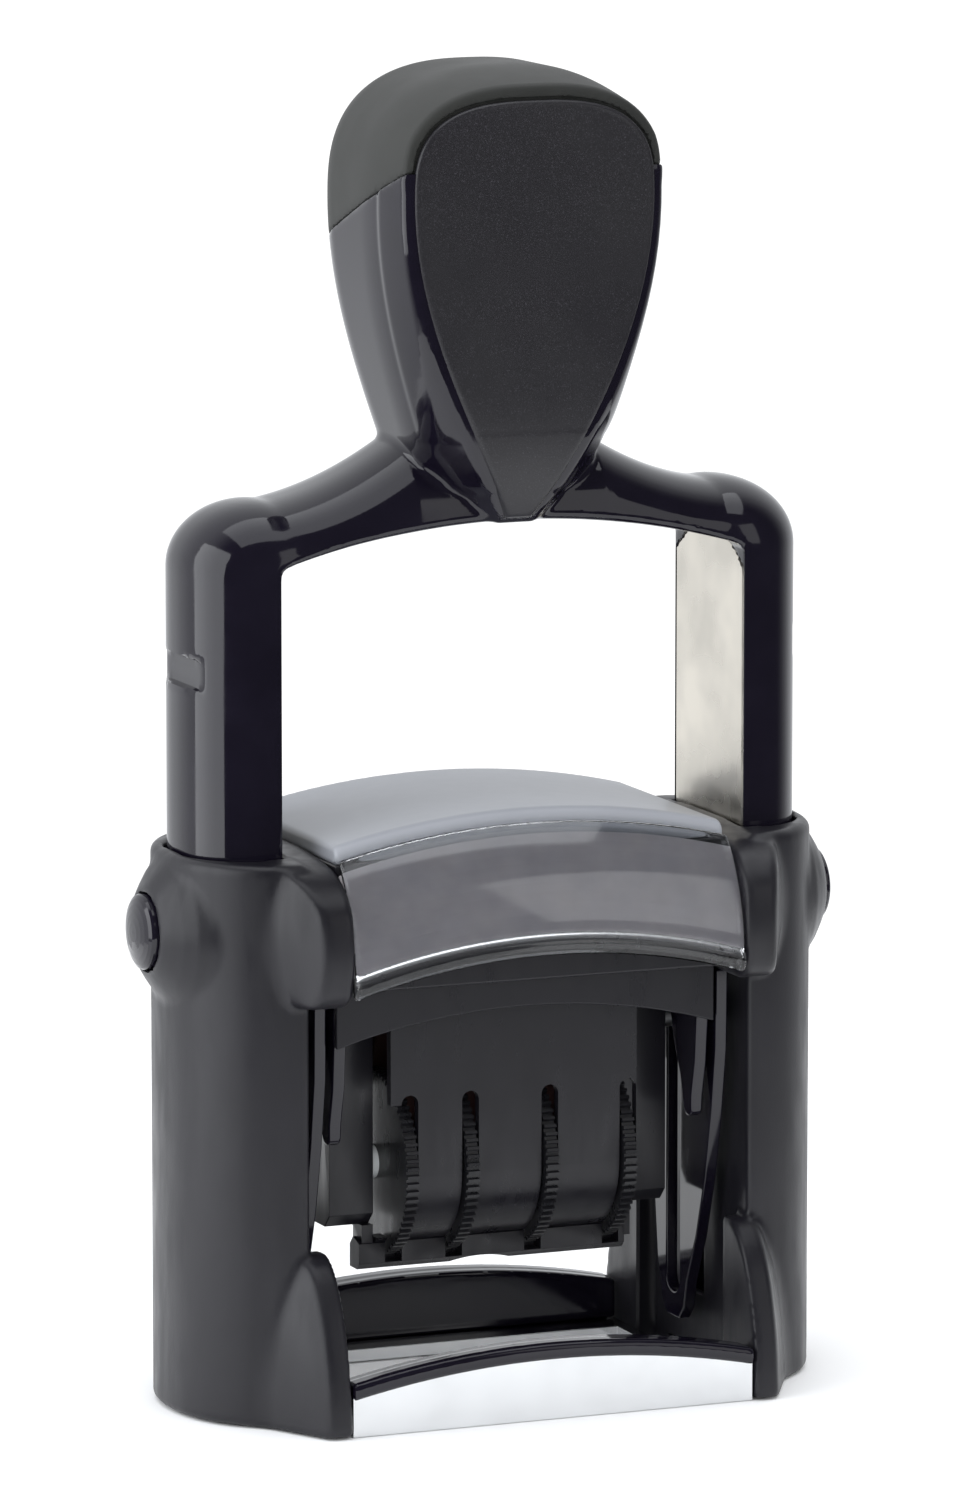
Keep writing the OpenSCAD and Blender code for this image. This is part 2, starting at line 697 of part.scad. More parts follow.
// Loop of one band: round the drum below, round the nose above, joined by its tangents.
function band_loop(r_low, r_high) =
  let (d = nose_z - wheel_z, lean = asin((r_low - r_high) / d))
  concat(
    [for (i = [0 : 12]) let (t = lean + (180 - 2 * lean) * i / 12) [r_high * cos(t), nose_z + r_high * sin(t)]],
    [for (i = [0 : 20]) let (t = 180 - lean + (180 + 2 * lean) * i / 20) [r_low * cos(t), wheel_z + r_low * sin(t)]]);

module date_band(i) {
  x0 = band_edges[i][0];
  x1 = band_edges[i][1];
  color([0.35, 0.12, 0.1]) {
    difference() {
      along_x(x0, x1) polygon(band_loop(band_in_r + band_t, band_top_r + band_t));
      along_x(x0 - 1, x1 + 1) polygon(band_loop(band_in_r, band_top_r));
    }
    // raised pad of the character at the printing face, and those round the drum
    translate([x0 + 0.3, -1.3, nose_z + band_top_r + band_t - 0.3]) cube([x1 - x0 - 0.6, 2.6, char_h + 0.3]);
    for (a = [10 : 40 : 170]) translate([0, 0, wheel_z]) rotate([a, 0, 0])
      translate([x0 + 0.3, -band_in_r - band_t - char_h, -1.3]) cube([x1 - x0 - 0.6, char_h + 0.2, 2.6]);
  }
}

module day_tens_band() { date_band(0); }

module day_units_band() { date_band(1); }

module month_band() { date_band(2); }

module year_band() { date_band(3); }

// Serrated thumbwheel with the drum that drives its band.
module date_wheel(i) {
  x = wheel_planes[i];
  step = 360 / wheel_teeth;
  color([0.1, 0.1, 0.1]) difference() {
    union() {
      along_x(x - disc_t / 2, x + disc_t / 2) translate([0, wheel_z])
        polygon([for (k = [0 : wheel_teeth - 1], c = [[-0.3, 0.5], [-0.18, 0], [0.18, 0], [0.3, 0.5]])
          (wheel_r - c[1]) * [cos(step * (k + c[0])), sin(step * (k + c[0]))]]);
      rod_x(drum_r, min(x, band_edges[i][0]), max(x, band_edges[i][1]), 0, wheel_z);
    }
    rod_x(axle_r + 0.05, x - 20, x + 20, 0, wheel_z);
  }
}

module day_tens_wheel() { date_wheel(0); }

module day_units_wheel() { date_wheel(1); }

module month_wheel() { date_wheel(2); }

module year_wheel() { date_wheel(3); }

// ---------- lock buttons ----------

// Right lock button: a domed cup, turned about its own axis.
module lock_button() {
  color(gloss_black) translate([0, 0, button_z]) rotate([0, 90, 0]) rotate_extrude()
    polygon(concat(
      [[2.9, button_in], [button_r, button_in], [button_r, 42.5]],
      [for (t = [15 : 15 : 90]) [button_r * cos(t), 42.5 + (button_tip - 42.5) * sin(t)]],
      [[0, 42.4], [2.9, 42.4]]));
}

module right_lock_button() { lock_button(); }

module left_lock_button() { mirror([1, 0, 0]) lock_button(); }

// Stack of wave washers behind the button, shown as three rings.
module button_spring() {
  color("silver") for (x = [39.35, 39.95, 40.55]) difference() {
    rod_x(2.5, x, x + 0.35, 0, button_z);
    rod_x(1.5, x - 1, x + 1, 0, button_z);
  }
}

module right_button_spring() { button_spring(); }

module left_button_spring() { mirror([1, 0, 0]) button_spring(); }

// ---------- output ----------

base_plate();
front_sill();
rear_sill();
left_column();
right_column();
left_guide_plate();
right_guide_plate();
left_ear();
right_ear();
bridge_frame();
front_skirt();
top_cover();
front_window();
index_card();
base_screws();
left_return_spring();
right_return_spring();
pad_cassette();
ink_pad();
handle_arch();
head_shell();
head_cap();
front_badge();
steel_bracket();
neck_screws();
carriage_frame();
carriage_cover();
flip_pins();
wheel_axle();
die_plate();
text_die();
band_nose();
day_tens_band();
day_units_band();
month_band();
year_band();
day_tens_wheel();
day_units_wheel();
month_wheel();
year_wheel();
left_lock_button();
right_lock_button();
left_button_spring();
right_button_spring();
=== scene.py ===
import json
import math

import bmesh
import bpy
import numpy as np
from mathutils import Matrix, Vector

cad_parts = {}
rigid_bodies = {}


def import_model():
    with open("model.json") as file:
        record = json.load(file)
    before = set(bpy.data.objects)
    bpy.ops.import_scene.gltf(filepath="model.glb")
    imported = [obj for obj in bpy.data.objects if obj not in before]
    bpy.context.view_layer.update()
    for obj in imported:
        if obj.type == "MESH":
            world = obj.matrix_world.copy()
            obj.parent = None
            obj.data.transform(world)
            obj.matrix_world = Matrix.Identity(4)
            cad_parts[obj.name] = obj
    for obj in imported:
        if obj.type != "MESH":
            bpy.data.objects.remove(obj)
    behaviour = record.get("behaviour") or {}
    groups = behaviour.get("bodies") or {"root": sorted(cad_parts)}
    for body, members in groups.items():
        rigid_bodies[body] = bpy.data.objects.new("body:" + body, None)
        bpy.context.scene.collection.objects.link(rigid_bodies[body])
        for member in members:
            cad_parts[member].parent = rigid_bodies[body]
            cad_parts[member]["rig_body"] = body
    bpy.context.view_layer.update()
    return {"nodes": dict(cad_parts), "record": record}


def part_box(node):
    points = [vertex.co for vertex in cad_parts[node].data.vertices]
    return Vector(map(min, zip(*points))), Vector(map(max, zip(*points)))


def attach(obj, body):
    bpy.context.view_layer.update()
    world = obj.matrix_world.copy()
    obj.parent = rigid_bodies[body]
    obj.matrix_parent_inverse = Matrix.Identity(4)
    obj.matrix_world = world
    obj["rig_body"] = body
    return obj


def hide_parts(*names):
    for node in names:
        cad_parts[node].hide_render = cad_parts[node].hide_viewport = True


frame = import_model()

# ---------- sizes, in millimetres ----------

MM = 0.001


def span(*nodes):
    """Lowest and highest corner over some CAD nodes, in millimetres."""
    boxes = [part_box(node) for node in nodes]
    low = np.min([np.array(box[0]) for box in boxes], axis=0) / MM
    high = np.max([np.array(box[1]) for box in boxes], axis=0) / MM
    return low, high


ARCH = span("handle_arch")
STRAP = span("steel_bracket")
SHELL = span("head_shell")
CAP = span("head_cap")
BADGE = span("front_badge")
BUTTON = span("right_lock_button")
COLUMN = span("right_column")
COVER = span("top_cover")
WINDOW = span("front_window")
PLATE = span("base_plate")
PAD = span("ink_pad")

STRAP_T = 1.0                                   # thickness of the steel bracket
STRAP_Y = 9.7                                   # half-width of its straps
LEG_IN = STRAP[1][0] - STRAP_T                  # inner face of a leg
LEG_OUT = ARCH[1][0]
LEG_Y = ARCH[1][1]
LEG_BOTTOM = ARCH[0][2]
NECK_Z = ARCH[1][2]                             # where the head is seated on the arch
CORNER_Z = NECK_Z - 16                          # corner where a leg meets the arch
ARM_RUN = 16.4                                  # length of the slope from a shoulder up to the neck
ARCH_RISE = 4.3                                 # rise of the arch's underside
SHOULDER_T = 7.9                                # thickness of the arch where the legs turn in
BAR_Z = STRAP[1][2] - STRAP_T - 0.9             # underside of the bracket's cross bar
BAR_Y = 5.4                                     # and its half-width
HEAD_X = SHELL[1][0]
TOP_Z = CAP[1][2]
BROW_Z = 140                                    # level where the head is widest
JAW_X, JAW_Z = 11.2, 110                        # half-width low down, and where it starts to grow
BADGE_LOW, BADGE_TOP = BADGE[0][2], BADGE[1][2]
BADGE_WIDE = 141.5                              # level where the badge is widest
BADGE_X = 0.968 * BADGE[1][0]
TIP_X = 1.6                                     # half-width of the badge's blunt tip
RIM_T, RIM_BACK = 0.55, 0.5                     # width of the ledge round the badge, and its setback
COLUMN_IN, COLUMN_OUT, COLUMN_Y = 27.5, 39.9, 15.2
RIM_Z = 65.8                                    # upper rim of the columns
CHEEK_IN = COLUMN[0][0]                         # inner face of the cheeks
CHEEK_TOP = COLUMN[1][2] - 1.05
CHEEK_LOW = 49.5
CHEEK_Y = 21.6
RIDGE_X = 28.2                                  # ridge between a cheek's or foot's two facets
FOOT_IN = 25.3
FOOT_Y, FOOT_REACH, FOOT_H = 14.2, 8.6, 20.2    # root, reach and height of a foot
BUTTON_Z = (BUTTON[0][2] + BUTTON[1][2]) / 2
BUTTON_R = BUTTON[1][1]
FIT = 0.3                                       # clearance round sliding parts
BRIDGE_MID = COVER[1][2]                        # crown of the bridge's arch
BRIDGE_RISE = 3.1                               # from the cheeks up to the crown
BRIDGE_R = (CHEEK_IN ** 2 + BRIDGE_RISE ** 2) / (2 * BRIDGE_RISE)
BRIDGE_AXIS = BRIDGE_MID - BRIDGE_R             # height of the bridge's arch axis
PANE_Y, PANE_Z, PANE_R = -2.3, 56.2, 19.0       # side arc of the window
PANE_T = 1.1
SILL_X = FOOT_IN - 0.2
RAIL_SLOTS = (-13.1, -5.5, 4.5, 14.4)           # finger slots of the carriage, left to right

# ---------- solids as distance functions ----------


def between(v, low, high):
    """Distance to a slab, negative inside."""
    return np.maximum(low - v, v - high)


def join(a, b, r):
    """Union of two solids with a fillet of radius r in the corner between them."""
    return np.maximum(r, np.minimum(a, b)) - np.hypot(np.maximum(r - a, 0), np.maximum(r - b, 0))


def common(a, b, r):
    """Intersection of two solids with its new edge rounded to radius r."""
    return -join(-a, -b, r)


def cut(a, b, r=0.25):
    """Solid a without solid b, with the rim of the cut rounded to radius r."""
    return common(a, -b, r)


def block(x, y, z, low, high, r):
    """Box with rounded edges."""
    sides = common(between(x, low[0], high[0]), between(y, low[1], high[1]), r)
    return common(sides, between(z, low[2], high[2]), r)


def squircle(u, v, a, b, p):
    """Nearly the distance to the curve |u/a|^p + |v/b|^p = 1."""
    s = np.maximum(np.abs(u) / a, 1e-4)
    t = np.maximum(np.abs(v) / b, 1e-4)
    f = (s ** p + t ** p) ** (1 / p)
    return (f - 1) / np.hypot((s / f) ** (p - 1) / a, (t / f) ** (p - 1) / b)


def outline(u, v, points):
    """Signed distance to a closed polygon in the plane of u and v."""
    nearest = np.full(np.broadcast(u, v).shape, 1e9)
    inside = np.zeros(nearest.shape, bool)
    for a, b in zip(points, points[1:] + points[:1]):
        du, dv = b[0] - a[0], b[1] - a[1]
        wu, wv = u - a[0], v - a[1]
        t = np.clip((wu * du + wv * dv) / (du * du + dv * dv), 0, 1)
        nearest = np.minimum(nearest, (wu - du * t) ** 2 + (wv - dv * t) ** 2)
        if dv:
            inside ^= ((a[1] > v) != (b[1] > v)) & (wu < du * wv / dv)
    return np.where(inside, -1, 1) * np.sqrt(nearest)


def crossing_cells(d):
    """Cells of a grid that the surface d = 0 passes through, and the middle of their crossings."""
    shape = tuple(n - 1 for n in d.shape)
    total = np.zeros(shape + (3,), np.float32)
    count = np.zeros(shape, np.uint8)
    for axis in range(3):
        side, other = [k for k in range(3) if k != axis]
        for i in (0, 1):
            for j in (0, 1):
                near, far = [slice(0, -1)] * 3, [slice(0, -1)] * 3
                near[side] = far[side] = slice(i, d.shape[side] - 1 + i)
                near[other] = far[other] = slice(j, d.shape[other] - 1 + j)
                far[axis] = slice(1, None)
                a, b = d[tuple(near)], d[tuple(far)]
                hit = (a < 0) != (b < 0)
                t = np.where(hit, a / np.where(hit, a - b, 1), 0)
                count += hit
                total[..., axis] += t
                total[..., side] += i * hit
                total[..., other] += j * hit
    cells = np.argwhere(count > 0)
    middle = total[count > 0] / count[count > 0][:, None]
    return cells, middle


def grid_axis(low, high, step, fine=None):
    """Grid levels from low to high. fine is (from, to, smaller step) for a stretch with more detail."""
    start, end = low - 2 * step, high + 2 * step
    if fine is None:
        return np.arange(start, end + step, step)
    near, far = max(fine[0], start), min(fine[1], end)
    parts = [np.arange(near, start - step, -step)[:0:-1], np.arange(near, far, fine[2]),
             np.arange(far, end + step, step)]
    return np.concatenate(parts)


def surface(solid, low, high, step, fine=(None, None, None)):
    """Points and faces of the surface where solid(x, y, z) is 0, pulled onto it by Newton's steps."""
    axes = [grid_axis(low[k], high[k], step, fine[k]) for k in range(3)]
    x, y, z = np.meshgrid(*axes, indexing="ij", sparse=True)
    d = np.ascontiguousarray(np.broadcast_to(solid(x, y, z), [len(a) for a in axes]))
    cells, middle = crossing_cells(d)
    points = np.stack([axes[k][cells[:, k]] + middle[:, k] * np.diff(axes[k])[cells[:, k]]
                       for k in range(3)], axis=1)
    number = np.full([n - 1 for n in d.shape], -1)
    number[tuple(cells.T)] = np.arange(len(cells))
    faces = []
    for axis in range(3):
        u, v = (axis + 1) % 3, (axis + 2) % 3
        near, far = [slice(1, -1)] * 3, [slice(1, -1)] * 3
        near[axis], far[axis] = slice(0, -1), slice(1, None)
        a, b = d[tuple(near)] < 0, d[tuple(far)] < 0
        for inward in (False, True):
            edges = np.argwhere((a & ~b) if inward else (b & ~a))
            edges[:, u] += 1
            edges[:, v] += 1
            corners = []
            for du, dv in ((-1, -1), (-1, 0), (0, 0), (0, -1)):
                cell = edges.copy()
                cell[:, u] += du
                cell[:, v] += dv
                corners.append(number[tuple(cell.T)])
            quad = np.stack(corners, axis=1)
            faces.append(quad[:, ::-1] if inward else quad)
    for _ in range(3):
        points = points - newton_step(solid, points, 0.6 * step)
    return points, np.concatenate(faces)


def newton_step(solid, points, limit):
    """How far each point is from the surface, along the slope there."""
    h = 0.02
    slope = np.zeros_like(points)
    for k in range(3):
        ahead, behind = points.copy(), points.copy()
        ahead[:, k] += h
        behind[:, k] -= h
        slope[:, k] = (solid(*ahead.T) - solid(*behind.T)) / (2 * h)
    move = (solid(*points.T) / np.maximum((slope ** 2).sum(1), 0.05))[:, None] * slope
    length = np.linalg.norm(move, axis=1, keepdims=True)
    return move * np.minimum(1, limit / np.maximum(length, 1e-9))


# ---------- pieces ----------

SLOTS = {row["node"]: row["material_slot"] for row in frame["record"]["subparts"]}
SHARP = math.radians(38)                        # edges bent more than this stay sharp


def dress(obj, material):
    obj.data.materials.clear()
    obj.data.materials.append(material)
    obj.data.shade_smooth()
    obj.data.set_sharp_from_angle(angle=SHARP)


def place(obj, nodes, material):
    """The piece stands for these CAD nodes, rides on their body and is dressed in the given material."""
    first = frame["nodes"][nodes[0]]
    dress(obj, material)
    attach(obj, first["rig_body"])
    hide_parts(*nodes)
    return obj


def mesh_object(name, points, faces):
    mesh = bpy.data.meshes.new(name)
    mesh.from_pydata((np.asarray(points) * MM).tolist(), [], np.asarray(faces).tolist())
    mesh.validate()
    obj = bpy.data.objects.new(name, mesh)
    bpy.context.scene.collection.objects.link(obj)
    return obj


def skin(name, solid, low, high, step, nodes, material, fine=(None, None, None)):
    """Piece made from a distance function, in place of its CAD nodes."""
    return place(mesh_object(name, *surface(solid, low, high, step, fine)), nodes, material)


def mirror_pair(name, points, faces, node, material):
    """The right-hand piece and its mirror image on the left."""
    place(mesh_object("right_" + name, points, faces), ["right_" + node], material)
    place(mesh_object("left_" + name, points * [-1, 1, 1], faces[:, ::-1]), ["left_" + node], material)


def soften(node, width):
    """A copy of a hard-edged CAD node with its edges rounded to the given width."""
    mesh = frame["nodes"][node].data.copy()
    shape = bmesh.new()
    shape.from_mesh(mesh)
    bmesh.ops.remove_doubles(shape, verts=shape.verts, dist=2e-6)
    bmesh.ops.dissolve_limit(shape, angle_limit=math.radians(1.5), verts=shape.verts, edges=shape.edges)
    shape.to_mesh(mesh)
    shape.free()
    obj = bpy.data.objects.new(node + "_moulded", mesh)
    bpy.context.scene.collection.objects.link(obj)
    bevel = obj.modifiers.new("edges", "BEVEL")
    bevel.width = width * MM
    bevel.segments = 2
    bevel.limit_method = "ANGLE"
    bevel.angle_limit = math.radians(30)
    bevel.use_clamp_overlap = True
    bevel.harden_normals = True
    return place(obj, [node], SKINS[SLOTS[node]])


# ---------- materials ----------


class Finish:
    """A Principled material and short calls for the texture nodes that vary it over the surface."""

    def __init__(self, name, rough, metallic=0.0, gloss=0.5, ior=1.5):
        self.material = bpy.data.materials.new(name)
        self.material.use_nodes = True
        self.tree = self.material.node_tree
        self.shader = self.tree.nodes["Principled BSDF"]
        self.shader.inputs["Metallic"].default_value = metallic
        self.shader.inputs["Roughness"].default_value = rough
        self.shader.inputs["Specular IOR Level"].default_value = gloss
        self.shader.inputs["IOR"].default_value = ior
        self.place = self.tree.nodes.new("ShaderNodeTexCoord").outputs["Object"]

    def stretched(self, factors):
        mapping = self.tree.nodes.new("ShaderNodeMapping")
        mapping.inputs["Scale"].default_value = factors
        self.tree.links.new(self.place, mapping.inputs["Vector"])
        return mapping.outputs["Vector"]

    def noise(self, size, detail=3.0, stretch=None):
        """Noise whose blobs are about size millimetres across."""
        node = self.tree.nodes.new("ShaderNodeTexNoise")
        node.inputs["Scale"].default_value = 1 / (size * MM)
        node.inputs["Detail"].default_value = detail
        self.tree.links.new(self.stretched(stretch) if stretch else self.place, node.inputs["Vector"])
        return node.outputs["Fac"]

    def ramp(self, value, low, high, start, end):
        """Maps value from start..end to low..high."""
        node = self.tree.nodes.new("ShaderNodeMapRange")
        node.inputs["From Min"].default_value = start
        node.inputs["From Max"].default_value = end
        node.inputs["To Min"].default_value = low
        node.inputs["To Max"].default_value = high
        self.tree.links.new(value, node.inputs["Value"])
        return node.outputs["Result"]

    def colours(self, value, stops):
        node = self.tree.nodes.new("ShaderNodeValToRGB")
        elements = node.color_ramp.elements
        while len(elements) < len(stops):
            elements.new(0.5)
        for element, (position, colour) in zip(elements, stops):
            element.position = position
            element.color = (*colour, 1)
        self.tree.links.new(value, node.inputs["Fac"])
        self.tree.links.new(node.outputs["Color"], self.shader.inputs["Base Color"])

    def rough(self, value, low, high, start=0.35, end=0.65):
        self.tree.links.new(self.ramp(value, low, high, start, end), self.shader.inputs["Roughness"])

    def bump(self, *layers):
        """Stacks (height value, depth in millimetres) layers into the shader's normal."""
        normal = None
        for value, depth in layers:
            node = self.tree.nodes.new("ShaderNodeBump")
            node.inputs["Distance"].default_value = depth * MM
            node.inputs["Strength"].default_value = 1.0
            self.tree.links.new(value, node.inputs["Height"])
            if normal:
                self.tree.links.new(normal, node.inputs["Normal"])
            normal = node.outputs["Normal"]
        self.tree.links.new(normal, self.shader.inputs["Normal"])


def shade(colour, factor):
    return tuple(min(1, c * factor) for c in colour)


def grained_plastic(name, colour, rough, grain=0.28, depth=0.012, contrast=0.14, gloss=0.4):
    """Matte moulded plastic with a fine spark-eroded grain and faint handling marks."""
    finish = Finish(name, rough, gloss=gloss)
    cloud, fine, marks = finish.noise(14), finish.noise(grain, 2), finish.noise(2.2, 6, (1, 1, 0.25))
    finish.colours(cloud, [(0.3, shade(colour, 1 - contrast)), (0.7, shade(colour, 1 + contrast))])
    finish.rough(marks, rough - 0.4 * contrast, rough + 0.5 * contrast)
    finish.bump((fine, depth), (cloud, 0.05))
    return finish.material


def glossy_plastic(name, colour, rough=0.07):
    """Polished plastic: almost mirror-smooth, with a slight sink in the moulding, haze and hairlines."""
    finish = Finish(name, rough)
    sink, haze, hair = finish.noise(17, 1), finish.noise(6, 5), finish.noise(0.5, 2, (1, 1, 0.05))
    finish.colours(haze, [(0.35, colour), (0.75, shade(colour, 1.35))])
    finish.rough(haze, rough * 0.7, rough * 1.7)
    finish.bump((sink, 0.07), (hair, 0.0012))
    return finish.material


def polished_steel(name, colour, rough):
    finish = Finish(name, rough, metallic=1.0)
    haze, hair = finish.noise(5, 5), finish.noise(0.3, 2, (0.04, 1, 1))
    finish.colours(haze, [(0.3, shade(colour, 0.93)), (0.7, shade(colour, 1.03))])
    finish.rough(haze, rough * 0.7, rough * 1.6)
    finish.bump((hair, 0.0015), (haze, 0.01))
    return finish.material


def satin_nickel(name, colour):
    """Rolled strip with cloudy plating and fine lengthwise lines."""
    finish = Finish(name, 0.3, metallic=1.0)
    cloud, lines = finish.noise(9, 2), finish.noise(0.25, 3, (1, 1, 0.02))
    finish.colours(cloud, [(0.35, shade(colour, 0.86)), (0.65, shade(colour, 1.06))])
    finish.rough(cloud, 0.22, 0.38)
    finish.bump((lines, 0.003), (cloud, 0.12))
    return finish.material


def soft_touch(name, colour):
    finish = Finish(name, 0.6, gloss=0.35)
    cloud, fine = finish.noise(11), finish.noise(0.16, 2)
    finish.shader.inputs["Sheen Weight"].default_value = 0.06
    finish.shader.inputs["Sheen Roughness"].default_value = 0.5
    finish.colours(cloud, [(0.3, shade(colour, 0.88)), (0.7, shade(colour, 1.14))])
    finish.rough(cloud, 0.55, 0.68)
    finish.bump((fine, 0.014), (cloud, 0.04))
    return finish.material


def sparkle_lacquer(name, colour):
    """Dark grey lacquer with fine metal flakes."""
    finish = Finish(name, 0.34, gloss=0.45)
    flakes, cloud = finish.noise(0.13, 1), finish.noise(12)
    finish.colours(flakes, [(0.45, colour), (0.62, shade(colour, 1.35)), (0.78, shade(colour, 3.4))])
    finish.rough(cloud, 0.3, 0.4)
    finish.bump((flakes, 0.012), (cloud, 0.03))
    return finish.material


def clear_plastic(name):
    finish = Finish(name, 0.03, ior=1.49)
    haze, wave = finish.noise(4, 5), finish.noise(12, 1)
    finish.shader.inputs["Transmission Weight"].default_value = 1.0
    finish.colours(haze, [(0.3, (0.93, 0.95, 0.98)), (0.7, (0.98, 0.99, 1.0))])
    finish.rough(haze, 0.02, 0.07)
    finish.bump((wave, 0.02), (haze, 0.0008))
    return finish.material


def card_stock(name, colour):
    finish = Finish(name, 0.75)
    pulp, fibre = finish.noise(3, 5), finish.noise(0.35, 4, (0.3, 1, 1))
    finish.colours(pulp, [(0.3, shade(colour, 0.94)), (0.7, shade(colour, 1.07))])
    finish.rough(fibre, 0.65, 0.85)
    finish.bump((fibre, 0.01))
    return finish.material


def moulded_rubber(name, colour):
    finish = Finish(name, 0.6)
    dust, fine = finish.noise(2.5, 5), finish.noise(0.12, 2)
    finish.colours(dust, [(0.3, shade(colour, 0.8)), (0.75, shade(colour, 1.25))])
    finish.rough(dust, 0.5, 0.75)
    finish.bump((fine, 0.01), (dust, 0.02))
    return finish.material


def inked_felt(name, colour):
    """Felt soaked with ink: fibres that stand up a little, darker where the ink pools."""
    finish = Finish(name, 0.8)
    fibres, pool = finish.noise(0.22, 6, (1, 0.35, 1)), finish.noise(6, 4)
    finish.shader.inputs["Sheen Weight"].default_value = 0.3
    finish.colours(pool, [(0.3, shade(colour, 0.6)), (0.7, shade(colour, 1.5))])
    finish.rough(pool, 0.45, 0.9)
    finish.bump((fibres, 0.09))
    return finish.material


SKINS = {
    "column_black": grained_plastic("column_black", (0.0082, 0.0078, 0.011), 0.37, 0.28, 0.008),
    "gloss_black": glossy_plastic("gloss_black", (0.0042, 0.0034, 0.0072)),
    "frame_black": grained_plastic("frame_black", (0.0072, 0.0068, 0.0095), 0.32, 0.35, 0.005),
    "cap_soft": soft_touch("cap_soft", (0.018, 0.0192, 0.0178)),
    "badge_grey": sparkle_lacquer("badge_grey", (0.0115, 0.011, 0.0135)),
    "cover_grey": grained_plastic("cover_grey", (0.25, 0.262, 0.29), 0.34, 0.25, 0.002, 0.02),
    "clear": clear_plastic("clear"),
    "card_grey": card_stock("card_grey", (0.36, 0.34, 0.355)),
    "nickel": satin_nickel("nickel", (0.74, 0.7, 0.62)),
    "steel_plate": polished_steel("steel_plate", (0.76, 0.77, 0.78), 0.12),
    "screw_steel": polished_steel("screw_steel", (0.6, 0.61, 0.62), 0.28),
    "spring_steel": polished_steel("spring_steel", (0.5, 0.51, 0.53), 0.25),
    "white_nylon": grained_plastic("white_nylon", (0.72, 0.75, 0.76), 0.4, 0.3, 0.004, 0.03),
    "die_rubber": moulded_rubber("die_rubber", (0.26, 0.055, 0.04)),
    "band_rubber": moulded_rubber("band_rubber", (0.04, 0.016, 0.014)),
    "ink_felt": inked_felt("ink_felt", (0.02, 0.02, 0.045)),
    "plate_alu": polished_steel("plate_alu", (0.72, 0.73, 0.74), 0.32),
    "wheel_black": grained_plastic("wheel_black", (0.009, 0.009, 0.011), 0.3, 0.2, 0.003),
}

for node, obj in frame["nodes"].items():
    dress(obj, SKINS[SLOTS[node]])

# ---------- handle ----------


def arm_top(x):
    """Height of the arms' upper side: falls from the neck to the shoulders in a hollow curve."""
    s = np.minimum((LEG_IN - np.abs(x)) / ARM_RUN, 1.05)
    return CORNER_Z + SHOULDER_T - 0.4 + 1.75 * s + 4.3 * s * np.abs(s)


def arch_underside(x, z):
    """Opening below the arch: a flat vault between the legs with small corner radii."""
    vault = z - CORNER_Z - 0.7 - ARCH_RISE * (1 - (x / LEG_IN) ** 2)
    slope = 2 * ARCH_RISE * x / LEG_IN ** 2
    return common(vault / np.hypot(1, slope), np.abs(x) - LEG_IN, 0.9)


def shoulder(x, y, z):
    """Leg and rounded corner: the leg's section swung round the inner corner and closed beyond it."""
    out = np.abs(x) - LEG_IN
    up = z - CORNER_Z
    thick = LEG_OUT - LEG_IN
    leg = squircle(np.maximum(out, 0), y, thick, LEG_Y, 2.3)
    around = np.hypot(np.maximum(out, 0) / thick, np.maximum(up, 0) / SHOULDER_T)
    past = np.maximum(-out, 0) / 4.6
    reach = np.maximum((around ** 2.25 + past ** 2.25) ** (1 / 2.25), 1e-4)
    turn = squircle(reach * SHOULDER_T, y, SHOULDER_T, LEG_Y, 2.3)
    return np.where(up < 0, leg, turn)


def arm(x, y, z):
    """One long arch from shoulder to shoulder, deeper towards the neck."""
    half = 9.9 + 0.5 * np.clip((LEG_IN - np.abs(x)) / 16, 0, 1)
    rise = np.maximum(z - CORNER_Z, 0)
    body = squircle(rise, y, arm_top(x) - CORNER_Z, half, 2.5)
    return common(common(body, np.abs(x) - LEG_IN + 0.2, 0.8), CORNER_Z - z, 0.2)


# ---------- head ----------


def badge_y(z):
    """Front face of the badge: nearly flat, curling back towards its tip."""
    return -16.2 + 5.0 * np.exp((104 - z) / 7)


def drop():
    """Outline of the badge in (x, z): a drop with a blunt tip below."""
    right = []
    for k in range(17):
        t = math.radians(5.4 * k)
        right.append((TIP_X + (BADGE_X - TIP_X) * math.sin(t),
                      BADGE_LOW + (BADGE_WIDE - BADGE_LOW) * k / 16.67))
    for k in range(25):
        t = math.radians(90 * k / 24)
        right.append((BADGE_X * math.cos(t) ** (2 / 2.8),
                      BADGE_WIDE + (BADGE_TOP - BADGE_WIDE) * math.sin(t) ** (2 / 2.8)))
    return right + [(-x, z) for x, z in reversed(right[:-1])]


DROP = drop()


def badge_gap(x, z):
    return outline(x, z, DROP)


